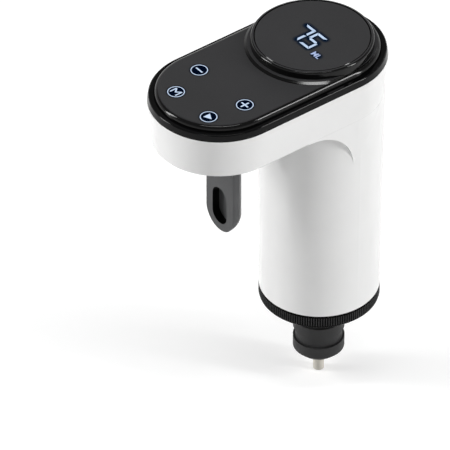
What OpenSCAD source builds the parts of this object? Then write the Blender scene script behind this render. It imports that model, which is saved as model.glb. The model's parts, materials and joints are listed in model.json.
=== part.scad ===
// Electric drink aerator: a white column on a ribbed stopper carries a long head with a touch panel, a
// round display, a push lever and an outlet nozzle. An air pump in the column drives the drink up a
// tube. Millimetres, +Z up, nozzle toward -Y, origin on the column axis at the upper edge of the
// stopper's first land.

/* [Head] */
// Radius of the round ends of the head at its black line
head_r = 25; // [24:0.5:28]
// Distance between the centres of the two round ends
head_span = 43; // [41:0.5:48]
// Height of the white band
band_h = 16; // [15:0.5:20]
// Amount by which the band is narrower at its lower edge
band_draft = 1; // [0.5:0.1:1.4]
// Rounding of the lower edge of the band
band_round = 1.2; // [0.8:0.1:1.6]
// Radius of the arched webs that join the head to the sides of the column
web_r = 21; // [18:0.5:24]
// Distance of the head's back centre in front of the column axis
head_set = 2; // [1.8:0.1:3]
// Wall thickness of the white housing
wall = 2.2; // [1.8:0.1:2.5]

/* [Column] */
// Radius of the column at its lower end
col_r = 21.6; // [21:0.2:23]
// Radius gained from the lower end to the head
col_flare = 1.3; // [0.8:0.1:1.3]
// Height of the column from the lock ring to the head
col_h = 85.8; // [85:0.2:100]

/* [Top cover] */
// Height of the black frame above the white band
bezel_h = 2.7; // [2.5:0.1:3.5]
// Width of the frame seen from above
bezel_w = 2.15; // [1.8:0.05:2.6]
// Gap between the frame and the touch panel
panel_gap = 0.3; // [0.2:0.05:0.5]
// Height of the touch panel above the frame
panel_rise = 2; // [1.5:0.1:2.5]
// Rounding of the panel edge
panel_round = 1.8; // [1.2:0.1:1.8]
// Thickness of the panel skin and of the walls below it
panel_skin = 1.7; // [1.5:0.1:1.9]
// Radius of the round display
disc_r = 21.6; // [20.5:0.1:21.8]
// Height of the display above the touch panel
disc_rise = 3.7; // [3.4:0.1:5]
// Distance of the display centre in front of the column axis
disc_set = 3.9; // [3.6:0.1:5]
// Width of the raised collar round the display
collar_w = 2.2; // [1.6:0.1:2.6]
// Thickness of the display lens
lens_t = 1.5; // [1.2:0.1:2]

/* [Lock ring and stopper] */
// Height of the knurled lock ring
ring_h = 5.6; // [5.4:0.1:7]
// Number of ribs round the ring
ring_ribs = 150; // [90:10:180]
// Depth of the ribs
rib_depth = 0.35; // [0.2:0.05:0.5]
// Width of the three bayonet lugs
lug_w = 5.5; // [4:0.5:7]
// Radius of the stopper lands
stopper_r = 9.25; // [8.8:0.05:9.8]
// Length of the stopper below its first land
stopper_len = 24; // [20:1:30]
// Radius of the rigid core inside the stopper
core_r = 5; // [4.5:0.1:5.5]

/* [Push lever and nozzle] */
// Width of the lever
lever_w = 15; // [14:0.2:15.6]
// Length of the lever below the head
lever_len = 41.7; // [36:0.1:48]
// Distance of the lever's front face in front of the column axis
lever_set = 44.8; // [44:0.2:46]
// Width of the scoop in the lever's face
scoop_w = 8; // [6:0.1:9]
// Depth of the scoop
scoop_d = 3; // [2:0.1:3.6]
// Radius of the lever pin
pin_r = 1.5; // [1.2:0.1:1.8]
// Distance from the lever pin to the switch plunger
heel_arm = 7; // [6.5:0.1:8]
// Distance of the nozzle in front of the column axis
nozzle_set = 59.4; // [58.5:0.1:61]
// Length of the nozzle below the head
nozzle_len = 5; // [4:0.5:8]
// Radius of the nozzle below the head
nozzle_r = 3.4; // [3.2:0.1:4]

/* [Pump, cell and tubes] */
// Diameter of the battery cell
cell_d = 14.2; // [13.8:0.1:14.4]
// Length of the battery cell
cell_len = 50; // [40:1:52]
// Diameter of the air pump
pump_d = 20; // [19.6:0.1:20.2]
// Diameter of the motor
motor_d = 19.4; // [18:0.1:19.6]
// Length of the motor
motor_len = 27; // [22:0.5:28]
// Radius of the motor shaft
shaft_r = 1; // [0.8:0.05:1.2]
// Tilt of the crank pin in degrees
rock_tilt = 7; // [5:0.5:8]
// Outer diameter of the tubes
tube_od = 6; // [5.4:0.1:6.2]
// Inner diameter of the tubes
tube_id = 4; // [3.6:0.1:4.2]

/* [Clearances] */
// Radial clearance of the turning and sliding fits
run_clear = 0.05; // [0.03:0.01:0.09]
// Clearance of parts that are laid in
slip_clear = 0.2; // [0.1:0.05:0.25]
// Gap between the lock ring and the column
ring_gap = 0.3; // [0.2:0.05:0.5]
// Gap at the faces of the lock ring's lips
lip_gap = 0.1; // [0.05:0.05:0.2]

/* [Hidden] */
$fn = 96;
eps = 0.01;

// Heights, counted up from the first land of the stopper
lip_z = 0.6;
seal_proud = 0.8;
ring_lip = 1.4;
flange_t = 1.4;
lug_t = 1.3;
z_ring = lip_z + seal_proud;
z_flange = z_ring + ring_lip + lip_gap;
z_spigot = z_flange + flange_t;
z_lug = z_spigot + lug_t;
z_lip = z_lug + lip_gap;
z_ring_top = z_ring + ring_h;
z_col = z_ring_top + ring_gap;
z_plate = z_col + 0.3;
plate_t = 3;
z_base = z_plate + plate_t;
z_under = z_col + col_h;
z_floor = z_under + wall;
z_bound = z_under + band_h;
z_bezel = z_bound + bezel_h;
z_panel = z_bezel + panel_rise;
z_skin = z_panel - panel_skin;
z_disc = z_panel + disc_rise;
z_lens = z_disc - lens_t;

// Plan of the head
head_y = -head_set;
front_y = -head_set - head_span;
band_r_low = head_r - band_draft;
head_in = head_r - wall;
head_in_low = band_r_low - wall;
bezel_in = head_r - 0.1 - bezel_w;
panel_r = bezel_in - panel_gap;
panel_in = panel_r - panel_skin + 0.1;
bezel_ledge = panel_r - panel_skin;
z_ledge = z_skin - 2;
disc_y = -disc_set;
collar_h = 0.8;
rim_t = 1.8;
rim_seat = 1.05;
lens_sink = 0.06;
z_digits = z_skin + 1.2;
digits_w = 26;
digits_d = 16;

// Column inside
col_top_r = col_r + col_flare;
col_in = col_r - wall;
col_in_top = col_top_r - wall;
pump_r = pump_d / 2;
motor_r = motor_d / 2;
sleeve_t = 1;
side_gap = 1.3;
pump_x = -(col_in - pump_r - side_gap);
cell_r = cell_d / 2;
cell_y = 2;
cell_x = sqrt(pow(col_in - cell_r - 0.5, 2) - cell_y * cell_y);
tube_r = tube_od / 2;
bore_r = tube_id / 2;
barb_r = bore_r;
lane_r = col_in - tube_r - 1;
lane_a = -35;
lane_x = lane_r * cos(lane_a);
lane_y = lane_r * sin(lane_a);

// Arched webs beside the column
web_lift = 0.3;
web_rise = 2.5;
web_y = -col_top_r - 1.1;
web_z = z_under - web_r + web_lift;
web_top = z_under + band_round + web_rise;
web_side = band_r_low + band_draft * web_rise / (band_h - band_round) - 0.05;
web_foot = col_r + col_flare * (web_z - z_col) / col_h - 0.3;

// Base
plate_r = col_in - slip_clear;
spigot_r = col_in - 1.8;
lug_r = spigot_r + 1.4;
ring_in = lug_r + 0.4;
flange_r = spigot_r - 0.6;
lip_in = flange_r - 1.6;
seat_r = lip_in - 0.6;
lug_angles = [30, 150, 270];
lock_turn = 60;
neck_r = 4;
wine_bore = 1.3;
air_bore = 0.9;
air_x = -3.1;
core_end = -stopper_len - 2;
barb_len = 7;
top_barb = 5.5;
boss_pos = 14.2;
boss_r = 2.8;
boss_h = 10;
boss_angles = [30, 150, 270];
screw_r = 1.1;
screw_len = 8;
head_screw_r = 2.1;
head_screw_t = 1.5;
small_screw_len = 5;
small_head_r = 1.5;
small_head_t = 1;
drive_w = 0.5;
drive_d = 0.5;
seal_sec = 0.75;
seal_ring = col_in - seal_sec;

// Sideways bend of the drink tube above the base
sway_a = 75;
sway_mid = 3;
sway_r = (lane_r - sway_mid * sin(sway_a)) / (2 * (1 - cos(sway_a)));
sway_h = 2 * sway_r * sin(sway_a) + sway_mid * cos(sway_a);
z_sway = z_base + top_barb + 1;

// Chassis and pump stack
z_shelf = z_sway + sway_h + 0.5;
shelf_t = 2;
shelf_r = col_in - 0.5;
pad_t = 1;
z_cell = z_shelf + shelf_t;
z_pump = z_cell + pad_t;
cover_t = 3;
cover_barb = 6;
chamber_t = 4;
case_h = 13;
case_in = pump_r - 2.4;
z_chamber = z_pump + cover_t;
z_case = z_chamber + chamber_t;
sheet_t = 1;
sheet_r = pump_r - 1;
z_motor = z_case + case_h;
z_cap = z_motor + motor_len;
cap_t = 2.5;
tab_pos = 5;
tab_w = 2;
tab_t = 0.6;
tab_h = 3;
z_clamp = z_cap - 6;
leg_r = 2;
peg_r = 1.2;
legs = [[-8.6, 13.9], [-6.8, -14.8], [16.2, -1.5]];
posts = [[-8.6, 13.9], [-6.8, -14.8], [4.8, 16]];
cup_pos = 4.6;
cup_r = 2.6;
cup_h = 1.4;
stub_r = 1.5;
z_apex = z_case + 6;
rock_t = 1.4;
stub_low = z_apex - z_case - sheet_t - cup_h - 0.9;
crank_r = 4.2;
z_crank = z_apex + 2.2;
crank_t = 2.4;
crank_pin = 0.8;
motor_boss = 3;
boss_t = 1.4;
shaft_in = 9;
valve_r = 4.2;
valve_h = 10;
valve_foot = 2.5;
valve_barb = 5;
valve_seat = 3;
valve_room = 2.6;
pump_screw_r = 0.7;
pump_screw_pos = pump_r - 1.5;
pump_screw_angles = [60, 180, 300];

// Lever, switch and head fittings
lever_y = -lever_set;
slot_side = 0.5;
lever_r = lever_w / 2;
lever_axis = lever_y + 0.2;
hinge_y = lever_y + lever_w / 4;
hinge_z = z_floor + 4.3;
swing = 8;
slot_front = lever_y - 0.6;
slot_back = lever_axis + lever_r + (hinge_z - z_under) * sin(swing) + 0.4;
hub_r = 3;
hub_half = 5;
hub_neck = 1.8;
ear_gap = 0.3;
ear_t = 2;
ear_foot = 2.4;
lever_top = z_floor + 0.9;
lever_low = z_under - lever_len;
scoop_low = lever_low + 3;
scoop_len = 15.2;
scoop_top = scoop_low + scoop_len;
heel_nose = 1;
heel_z = hinge_z + 0.3;
plunger_r = 1.2;
plunger_low = heel_z + heel_nose + lip_gap / 2;
switch_y = hinge_y + heel_arm;
z_switch = plunger_low + 1.1;
switch_h = 3.8;
z_board = z_switch + switch_h;
board_t = 1.6;
chip_t = 1;
chip_x = 12;
chip_w = 6;
chip_d = 10;
main_chip = 9;
chip_set = 4;
small_chip_d = 5;
small_chip_set = 11;
board_r = bezel_ledge - 0.4;
post_r = 1.8;
post_in = board_r - 2.3;
post_a = 40;
post_x = lane_x - tube_r - post_r - 0.4;
post_back = -(col_in_top + post_r + 5.5);
post_front = front_y - post_in * sin(post_a);
board_posts = [[post_x, post_back], [-post_x, post_back],
    [post_in * cos(post_a), post_front], [-post_in * cos(post_a), post_front]];
board_rim = 2.6;
spring_arm = 6.6;
spring_r = 1.7;
spring_wire = 0.5;
z_spring = hinge_z - 1.4;
nozzle_y = -nozzle_set;
flow_bore = 1.6;
nozzle_flange = 4.6;
nozzle_body = 4;
nozzle_cap = 3.4;
flange_lip = 1.4;
mouth_d = 1.5;
mouth_w = 0.9;
seal_t = 1;
run_z = z_floor + 5.8;
bend_r = 9;
bend_lap = 3;
bend_step = 0.06;
turn_r = 12;
turn_a = 45;
turn_x = lane_x - turn_r * (1 - cos(turn_a));
turn_y = nozzle_y + turn_x + turn_r * sin(turn_a);
barb_out = 9;
socket_w = 8.9;
socket_t = 3.2;
socket_len = 7.4;
charge_z = z_base + 8.6;
charge_t = 1.4;
socket_z = charge_z + charge_t + socket_t / 2;
charge_posts = [[-4.5, 10], [4.5, 10]];
charge_post_r = 1.8;
charge_screw_r = 0.8;

// Solid swept round the head plan from a half section given as radius and height
module head_sweep() {
    translate([0, head_y, 0])
        rotate_extrude(angle = 180)
            children();
    translate([0, front_y, 0])
        rotate([0, 0, 180])
            rotate_extrude(angle = 180)
                children();
    translate([0, head_y, 0])
        rotate([90, 0, 0])
            linear_extrude(head_span) {
                children();
                mirror([1, 0, 0])
                    children();
            }
}

// Plate with the head plan
module head_plate(r, z, t) {
    translate([0, 0, z])
        linear_extrude(t) {
            translate([0, head_y])
                circle(r);
            translate([0, front_y])
                circle(r);
            translate([-r, front_y])
                square([2 * r, head_span]);
        }
}

module band_section(r_low, r_top, z0, z1, e) {
    polygon([[0, z0], [r_low - e, z0], [r_low, z0 + e], [r_top, z1], [0, z1]]);
    translate([r_low - e, z0 + e])
        circle(e);
}

// Upright rod given by its centre
module rod(p, r, z0, z1) {
    translate([p[0], p[1], z0])
        cylinder(r = r, h = z1 - z0);
}

// Rod along X given by the height and depth of its axis
module cross_rod(y, z, r, half) {
    translate([-half, y, z])
        rotate([0, 90, 0])
            cylinder(r = r, h = 2 * half);
}

module box(x0, x1, y0, y1, z0, z1) {
    translate([x0, y0, z0])
        cube([x1 - x0, y1 - y0, z1 - z0]);
}

// Torus lying flat
module flat_ring(r, sec, z) {
    translate([0, 0, z])
        rotate_extrude()
            translate([r, 0])
                circle(sec);
}

module main_housing() {
    color("#f2f2f0") {
        difference() {
            union() {
                head_sweep()
                    band_section(band_r_low, head_r, z_under, z_bound, band_round);
                translate([0, 0, z_col])
                    cylinder(r1 = col_r, r2 = col_top_r, h = col_h);
                rod([0, 0], col_top_r, z_under, z_bound);
                head_web();
            }
            head_sweep()
                polygon([[0, z_floor], [head_in_low, z_floor], [head_in, z_bound],
                    [head_in, z_bound + 1], [0, z_bound + 1]]);
            translate([0, 0, z_col])
                cylinder(r1 = col_in, r2 = col_in_top, h = col_h);
            rod([0, 0], col_in, z_col - 1, z_col + eps);
            rod([0, 0], col_in_top, z_under - eps, z_floor + 1);
            box(-lever_w / 2 - slot_side, lever_w / 2 + slot_side, slot_front, slot_back,
                z_under - 1, z_floor + 1);
            rod([0, nozzle_y], nozzle_r, z_under - 1, z_floor + 1);
            charge_mouth();
        }
        housing_bosses();
        lever_ears();
        board_pillars();
    }
}

// Body under the head that follows its sides down to the column, ending in an arch toward the front
module head_web() {
    intersection() {
        head_sweep()
            polygon([[0, web_z], [web_foot, web_z], [web_side, web_top], [0, web_top]]);
        difference() {
            box(-head_r, head_r, web_y, head_r, web_z, web_top);
            cross_rod(web_y, web_z, web_r, head_r);
        }
    }
}

// Opening of the charging socket in the back of the column
module charge_mouth() {
    half = (socket_w - socket_t) / 2 + slip_clear / 2;
    r = socket_t / 2 + slip_clear;
    for (s = [-1, 1])
        translate([s * half, 0, socket_z])
            rotate([-90, 0, 0])
                cylinder(r = r, h = col_r + 3);
    box(-half, half, 0, col_r + 3, socket_z - r, socket_z + r);
}

// Screw bosses on the inside of the column
module housing_bosses() {
    for (a = boss_angles)
        rotate([0, 0, a])
            difference() {
                union() {
                    rod([boss_pos, 0], boss_r, z_base, z_base + boss_h);
                    box(boss_pos, col_in + 1, -1.2, 1.2, z_base, z_base + boss_h);
                }
                rod([boss_pos, 0], screw_r, z_base - 1, z_base + boss_h - 2);
            }
}

// Ears that carry the lever pin
module lever_ears() {
    for (s = [-1, 1])
        translate([s * (hub_half + ear_gap + ear_t / 2), 0, 0])
            difference() {
                union() {
                    cross_rod(hinge_y, hinge_z, hub_r, ear_t / 2);
                    box(-ear_t / 2, ear_t / 2, hinge_y - hub_r, hinge_y + hub_r, z_floor + 1, hinge_z);
                    box(-ear_t / 2, ear_t / 2, slot_front - ear_foot, slot_back + ear_foot,
                        z_floor - 0.5, z_floor + 2.8);
                }
                box(-ear_t, ear_t, slot_front, slot_back, z_floor - 1, lever_top + 0.4);
                cross_rod(hinge_y, hinge_z, pin_r, ear_t);
            }
}

// Pillars under the control board
module board_pillars() {
    for (p = board_posts)
        difference() {
            rod(p, post_r, z_floor - 0.5, z_board);
            rod(p, charge_screw_r, z_board - 6, z_board + 1);
        }
}

module top_bezel() {
    color("#0e0e10")
        head_sweep()
            bezel_section();
}

module bezel_section() {
    r = head_r - 0.1;
    e = 0.6;
    skirt = head_in - slip_clear;
    polygon([[bezel_ledge, z_bound - 2.5], [skirt, z_bound - 2.5], [skirt, z_bound], [r, z_bound],
        [r - 0.3, z_bezel - e], [r - 0.3 - e, z_bezel], [bezel_in, z_bezel], [bezel_in, z_ledge],
        [bezel_ledge, z_ledge]]);
    translate([r - 0.3 - e, z_bezel - e])
        circle(e);
}

module touch_panel() {
    color("#37393c")
        difference() {
            union() {
                head_sweep()
                    panel_section();
                intersection() {
                    rod([0, disc_y], disc_r + 0.6, z_ledge, z_skin + 0.3);
                    head_plate(panel_r - 0.5, z_ledge, panel_skin + 3);
                }
                display_collar();
            }
            rod([0, disc_y], disc_r + run_clear, z_skin, z_panel + 1);
            rod([0, disc_y], disc_r - 4, z_ledge - 1, z_skin + 1);
        }
}

module panel_section() {
    r = panel_r;
    e = panel_round;
    polygon([[0, z_skin], [panel_in, z_skin], [panel_in, z_ledge], [r, z_ledge], [r, z_panel - e],
        [r - e, z_panel], [0, z_panel]]);
    intersection() {
        translate([r - e, z_panel - e])
            circle(e);
        translate([r - e, z_panel - e])
            square([e, e]);
    }
}

// Sloping collar at the foot of the display, trimmed along the panel edge
module display_collar() {
    r = disc_r + collar_w;
    intersection() {
        translate([0, disc_y, 0])
            rotate_extrude()
                polygon([[disc_r - 1, z_panel - 0.5], [r, z_panel - 0.5], [r, z_panel + 0.2],
                    [r - 0.9, z_panel + collar_h], [disc_r - 1, z_panel + collar_h]]);
        head_plate(panel_r - 1, z_panel - 1, 2);
    }
}

module touch_board() {
    color("#1d5b34")
        difference() {
            head_plate(panel_in - 0.3, z_skin - 1.6, 1.6);
            rod([0, disc_y], disc_r + 0.9, z_ledge - 1, z_panel);
            box(-head_r, head_r, disc_y, head_r, z_ledge - 1, z_panel);
        }
}

module display_rim() {
    e = 0.8;
    color("#3b3d40")
        translate([0, disc_y, 0])
            difference() {
                rotate_extrude() {
                    polygon([[disc_r - rim_t, z_skin], [disc_r, z_skin], [disc_r, z_disc - e],
                        [disc_r - e, z_disc], [disc_r - rim_t, z_disc]]);
                    translate([disc_r - e, z_disc - e])
                        circle(e);
                }
                rod([0, 0], disc_r - rim_seat, z_lens, z_disc + 1);
            }
}

module display_lens() {
    e = 0.25;
    r = disc_r - rim_seat - slip_clear;
    top = z_disc - lens_sink;
    color("#303236")
        translate([0, disc_y, 0])
            rotate_extrude()
                polygon([[0, z_lens], [r, z_lens], [r, top - e], [r - e, top], [0, top]]);
}

module display_board() {
    color("#1d5b34")
        rod([0, disc_y], disc_r - rim_t - slip_clear, z_skin, z_digits);
}

module display_digits() {
    color("#e8e8e4")
        box(-digits_w / 2, digits_w / 2, disc_y - digits_d / 2, disc_y + digits_d / 2, z_digits, z_lens);
}

module control_board() {
    color("#1d5b34")
        difference() {
            union() {
                intersection() {
                    head_plate(board_r, z_board, board_t);
                    box(-head_r, head_r, post_front - board_rim, post_back + board_rim,
                        z_board, z_board + board_t);
                }
                board_chip(0, front_y + chip_set, main_chip, main_chip);
                board_chip(-chip_x, front_y + chip_set, chip_w, chip_d);
                board_chip(chip_x, front_y + small_chip_set, chip_w, small_chip_d);
            }
            for (p = board_posts)
                rod(p, charge_screw_r + slip_clear, z_board - 1, z_board + board_t + 1);
        }
}

// Flat chip on the control board given by its centre
module board_chip(x, y, w, d) {
    z = z_board + board_t;
    box(x - w / 2, x + w / 2, y - d / 2, y + d / 2, z - eps, z + chip_t);
}

// Pan-head screw with its tip down
module screw(p, r, z_seat, len, head, head_t) {
    rod(p, r, z_seat - len, z_seat + eps);
    difference() {
        rod(p, head, z_seat, z_seat + head_t);
        for (turn = [0, 90])
            translate([p[0], p[1], z_seat + head_t - drive_d])
                rotate([0, 0, turn])
                    box(-head, head, -drive_w / 2, drive_w / 2, 0, drive_d + 1);
    }
}

module board_screws() {
    color("#b8bcc0")
        for (p = board_posts)
            screw(p, charge_screw_r, z_board + board_t, small_screw_len, small_head_r, small_head_t);
}

module micro_switch() {
    color("#1a1a1c")
        difference() {
            box(-5, 5, switch_y - 2.6, switch_y + 2.6, z_switch, z_board);
            rod([0, switch_y], plunger_r + run_clear, z_switch - 1, z_board - 0.4);
        }
}

module switch_plunger() {
    color("#b5302a")
        rod([0, switch_y], plunger_r, plunger_low, z_switch + 2);
}

// Round rod with a domed lower end
module lever_rod() {
    z_dome = lever_low + lever_r;
    translate([0, lever_axis, 0])
        rotate_extrude() {
            translate([0, z_dome])
                square([lever_r, lever_top - z_dome]);
            intersection() {
                translate([0, z_dome])
                    circle(lever_r);
                translate([0, lever_low])
                    square([lever_r, lever_r]);
            }
        }
}

module lever() {
    color("#4b4d50")
        difference() {
            union() {
                intersection() {
                    lever_rod();
                    box(-lever_w, lever_w, lever_y, lever_axis + lever_w, lever_low - 1, lever_top + 1);
                }
                box(-hub_half, hub_half, hinge_y - hub_neck, hinge_y + hub_neck, lever_top - 1, hinge_z);
                cross_rod(hinge_y, hinge_z, hub_r, hub_half);
                lever_heels();
            }
            cross_rod(hinge_y, hinge_z, pin_r + run_clear, head_r);
            lever_scoop();
        }
}

// Arms of the lever under the switch and over the spring
module lever_heels() {
    box(-2, 2, hinge_y, switch_y, hinge_z - 0.7, heel_z);
    cross_rod(switch_y, heel_z, heel_nose, 2);
    box(-2.4, 2.4, hinge_y - spring_arm - spring_r - 0.4, hinge_y, z_spring, hinge_z + 0.4);
}

module lever_scoop() {
    r = scoop_w / 2;
    for (z = [scoop_low + r, scoop_top - r])
        translate([0, lever_y + scoop_d, z])
            rotate([90, 0, 0])
                cylinder(r = r, h = scoop_d + 1);
    box(-r, r, lever_y - 1, lever_y + scoop_d, scoop_low + r, scoop_top - r);
}

module lever_pin() {
    color("#c4c7ca")
        cross_rod(hinge_y, hinge_z, pin_r, hub_half + ear_gap + ear_t + 0.3);
}

module lever_spring() {
    turns = 3;
    len = z_spring - z_floor;
    rise = len - spring_wire;
    color("#c4c7ca") {
        translate([0, hinge_y - spring_arm, z_floor + spring_wire / 2])
            linear_extrude(rise, twist = -360 * turns, slices = 20 * turns, $fn = 8)
                translate([spring_r - spring_wire / 2, 0])
                    circle(spring_wire / 2);
        for (z = [z_floor, z_spring - spring_wire])
            difference() {
                rod([0, hinge_y - spring_arm], spring_r, z, z + spring_wire);
                rod([0, hinge_y - spring_arm], spring_r - spring_wire, z - 1, z + 1);
            }
    }
}

module outlet_nozzle() {
    color("#232427")
        translate([0, nozzle_y, 0])
            difference() {
                union() {
                    rod([0, 0], nozzle_r, z_under - nozzle_len, z_floor + seal_t);
                    rod([0, 0], nozzle_flange, z_floor + seal_t, z_floor + seal_t + flange_lip);
                    rod([0, 0], nozzle_body, z_floor + seal_t, run_z + nozzle_cap);
                    nozzle_barb(barb_r, 0);
                }
                rod([0, 0], flow_bore, z_under - nozzle_len - 1, run_z);
                translate([0, 0, z_under - nozzle_len - eps])
                    cylinder(r1 = flow_bore + mouth_w, r2 = flow_bore, h = mouth_d);
                nozzle_barb(wine_bore, 1);
            }
}

module nozzle_barb(r, past) {
    translate([0, 0, run_z])
        rotate([0, 90, turn_a])
            cylinder(r = r, h = barb_out + past);
}

module nozzle_seal() {
    color("#1c1c1e")
        difference() {
            rod([0, nozzle_y], nozzle_flange, z_floor, z_floor + seal_t);
            rod([0, nozzle_y], nozzle_r, z_floor - 1, z_floor + 2);
        }
}

// Bend of a tube from the X axis, lying in the XY plane round the origin, with both ends let into the
// straight pieces
module tube_bend(r, bend, a) {
    rotate([0, 0, -bend_lap])
        rotate_extrude(angle = a + 2 * bend_lap)
            translate([bend, 0])
                circle(r - bend_step);
}

// Path of the drink tube from the stopper core up the column and along the head
module tube_path(r, past) {
    z0 = z_base + 0.2 - past;
    rod([0, 0], r, z0, z_sway);
    rotate([0, 0, lane_a]) {
        translate([sway_r, 0, z_sway])
            rotate([90, 0, 0])
                rotate([0, 0, 180 - sway_a])
                    tube_bend(r, sway_r, sway_a);
        translate([sway_r * (1 - cos(sway_a)), 0, z_sway + sway_r * sin(sway_a)])
            rotate([0, sway_a, 0])
                cylinder(r = r, h = sway_mid);
        translate([lane_r - sway_r, 0, z_sway + sway_h])
            rotate([90, 0, 0])
                rotate([0, 0, -sway_a])
                    tube_bend(r, sway_r, sway_a);
    }
    rod([lane_x, lane_y], r, z_sway + sway_h, run_z - bend_r);
    translate([lane_x, lane_y - bend_r, run_z - bend_r])
        rotate([0, 90, 0])
            rotate([0, 0, 90])
                tube_bend(r, bend_r, 90);
    tube_front(r, past);
}

// Part of the tube that lies along the head
module tube_front(r, past) {
    y0 = lane_y - bend_r;
    run = sqrt(2) * turn_x;
    translate([lane_x, y0, run_z])
        rotate([90, 0, 0])
            cylinder(r = r, h = y0 - turn_y);
    translate([lane_x - turn_r, turn_y, run_z])
        rotate([0, 0, -turn_a])
            tube_bend(r, turn_r, turn_a);
    translate([0, nozzle_y, run_z])
        rotate([0, 90, turn_a])
            translate([0, 0, nozzle_body + 0.3 - past])
                cylinder(r = r, h = run - nozzle_body - 0.3 + past);
}

module wine_tube() {
    color("#d9dde0")
        difference() {
            tube_path(tube_r, 0);
            tube_path(bore_r, 0.2);
        }
}

module battery_cell() {
    color("#2f6fa8") {
        rod([cell_x, cell_y], cell_r, z_cell, z_cell + cell_len);
        rod([cell_x, cell_y], 2.7, z_cell + cell_len - eps, z_cell + cell_len + 1);
    }
}

module chassis() {
    color("#54575b")
        difference() {
            union() {
                rod([0, 0], shelf_r, z_shelf, z_cell);
                rod([0, 0], shelf_r, z_clamp, z_clamp + shelf_t);
                for (p = legs) {
                    rod(p, leg_r, z_base, z_shelf + eps);
                    rod(p, peg_r, z_base - 2, z_base + eps);
                }
                for (p = posts)
                    rod(p, leg_r, z_cell - eps, z_clamp + eps);
            }
            rod([pump_x, 0], tube_r + 0.4, z_shelf - 1, z_cell + 1);
            rod([pump_x, 0], motor_r + sleeve_t, z_clamp - 1, z_clamp + shelf_t + 1);
            rod([cell_x, cell_y], cell_r + slip_clear, z_clamp - 1, z_clamp + shelf_t + 1);
            rod([lane_x, lane_y], tube_r + slip_clear, z_shelf - 1, z_clamp + shelf_t + 1);
        }
}

module motor_sleeve() {
    color("#1c1c1e")
        difference() {
            rod([pump_x, 0], motor_r + sleeve_t, z_clamp, z_clamp + shelf_t);
            rod([pump_x, 0], motor_r, z_clamp - 1, z_clamp + shelf_t + 1);
        }
}

module motor_can() {
    color("#aeb3b8")
        difference() {
            union() {
                rod([pump_x, 0], motor_r, z_motor, z_cap);
                rod([pump_x, 0], motor_boss, z_motor - boss_t, z_motor + eps);
            }
            rod([pump_x, 0], shaft_r + run_clear, z_motor - boss_t - 1, z_motor + shaft_in + 0.5);
        }
}

module motor_cap() {
    color("#e6e4dc") {
        rod([pump_x, 0], motor_r - 0.8, z_cap, z_cap + cap_t);
        for (s = [-1, 1])
            translate([pump_x + s * tab_pos, 0, z_cap + cap_t - eps])
                box(-tab_w / 2, tab_w / 2, -tab_t / 2, tab_t / 2, 0, tab_h);
    }
}

module drive_crank() {
    color("#d6d2c4") {
        rod([pump_x, 0], shaft_r, z_crank, z_motor + shaft_in);
        rod([pump_x, 0], crank_r, z_crank, z_crank + crank_t);
        translate([pump_x, 0, z_apex])
            rotate([rock_tilt, 0, 0])
                translate([0, 0, -1.2])
                    cylinder(r = crank_pin, h = z_crank - z_apex + 2.2);
    }
}

module rocker() {
    color("#3f7f8c")
        translate([pump_x, 0, z_apex])
            rotate([rock_tilt, 0, 0])
                difference() {
                    union() {
                        rod([0, 0], 2, -1.6, 1.5);
                        for (a = [0, 120, 240])
                            rotate([0, 0, a + 90]) {
                                box(0, cup_pos, -1.4, 1.4, -rock_t / 2, rock_t / 2);
                                rod([cup_pos, 0], 2.1, -rock_t / 2, rock_t / 2);
                                rod([cup_pos, 0], stub_r, -stub_low, 0);
                            }
                    }
                    rod([0, 0], crank_pin + run_clear, -3, 3);
                }
}

module pump_case() {
    color("#e6e4dc")
        translate([pump_x, 0, 0])
            difference() {
                rod([0, 0], pump_r, z_case, z_motor);
                rod([0, 0], case_in, z_case - 1, z_motor - 1.8);
                rod([0, 0], sheet_r, z_case - 1, z_case + sheet_t);
                rod([0, 0], motor_boss, z_motor - 3, z_motor + 1);
                pump_bolts(0, z_case - 1, z_case + 6);
            }
}

// Three upright screws round the pump
module pump_bolts(extra, z0, z1) {
    for (a = pump_screw_angles)
        rotate([0, 0, a])
            rod([pump_screw_pos, 0], pump_screw_r + extra, z0, z1);
}

module diaphragm() {
    color("#26272a")
        translate([pump_x, 0, 0])
            difference() {
                union() {
                    rod([0, 0], sheet_r, z_case, z_case + sheet_t);
                    for (a = [0, 120, 240])
                        rotate([0, 0, a + 90])
                            rod([cup_pos, 0], cup_r, z_case + sheet_t - eps, z_case + sheet_t + cup_h);
                }
                for (a = [0, 120, 240])
                    rotate([0, 0, a + 90])
                        rod([cup_pos, 0], cup_r - 0.7, z_case - 1, z_case + sheet_t + cup_h - 0.8);
                pump_bolts(0, z_case - 1, z_case + 3);
            }
}

module pump_chamber() {
    color("#e6e4dc")
        translate([pump_x, 0, 0])
            difference() {
                rod([0, 0], pump_r, z_chamber, z_case);
                for (a = [0, 120, 240])
                    rotate([0, 0, a + 90])
                        rod([cup_pos, 0], 0.8, z_chamber - 1, z_case + 1);
                pump_bolts(0, z_chamber - 1, z_case + 1);
            }
}

module pump_cover() {
    color("#e6e4dc")
        translate([pump_x, 0, 0])
            difference() {
                union() {
                    rod([0, 0], pump_r, z_pump, z_chamber);
                    rod([0, 0], barb_r, z_pump - cover_barb, z_pump + eps);
                }
                rod([0, 0], cup_pos + 1, z_chamber - 1.2, z_chamber + 1);
                rod([0, 0], wine_bore, z_pump - cover_barb - 1, z_chamber);
                pump_bolts(0, z_pump - 1, z_chamber + 1);
                pump_bolts(0.6, z_pump - 1, z_pump + 1.2);
            }
}

module pump_screws() {
    color("#b8bcc0")
        translate([pump_x, 0, 0]) {
            pump_bolts(0, z_pump + 0.5, z_case + 6);
            pump_bolts(0.6, z_pump, z_pump + 1.2);
        }
}

module pump_pad() {
    color("#1c1c1e")
        difference() {
            rod([pump_x, 0], pump_r - 0.2, z_cell, z_pump);
            rod([pump_x, 0], tube_r + 1, z_cell - 1, z_pump + 1);
        }
}

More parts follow.
